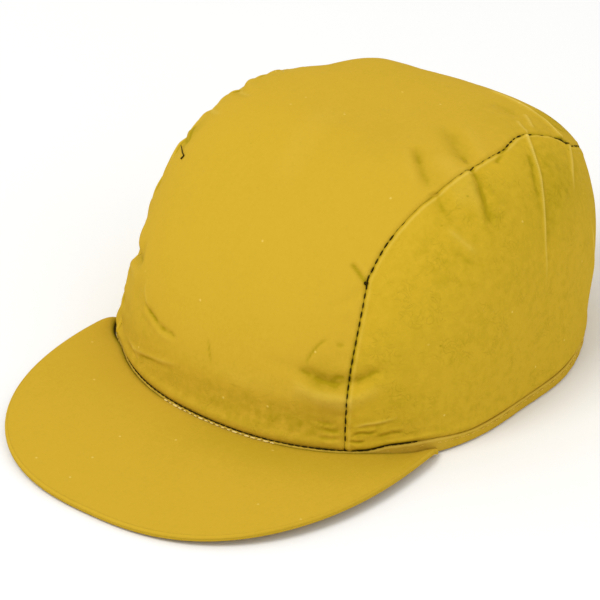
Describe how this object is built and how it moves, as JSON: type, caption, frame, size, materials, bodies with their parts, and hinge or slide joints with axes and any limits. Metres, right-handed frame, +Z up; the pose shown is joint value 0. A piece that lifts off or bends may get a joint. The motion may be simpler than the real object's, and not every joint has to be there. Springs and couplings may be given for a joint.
{
  "type": "cycling cap",
  "caption": "Soft cotton cycling cap: a centre panel from front to back between two side panels, a turned hem and a short stiff rounded peak.",
  "frame": {"origin": "on the table, under the middle of the cap's bounding box", "axes": "+Z up from the table, -Y towards the tip of the peak, +X towards the wearer's left"},
  "size_m": [0.1664, 0.2618, 0.0943],
  "materials": {
    "crown_cotton": "matte yellow cotton",
    "hem_cotton": "matte yellow cotton, turned and stitched",
    "peak_cotton": "matte yellow cotton over a stiff board"
  },
  "bodies": {
    "root": {"crown_center_panel": "crown_cotton", "side_panel_left": "crown_cotton", "side_panel_right": "crown_cotton", "hem_band": "hem_cotton", "peak": "peak_cotton"}
  },
  "joints": []
}
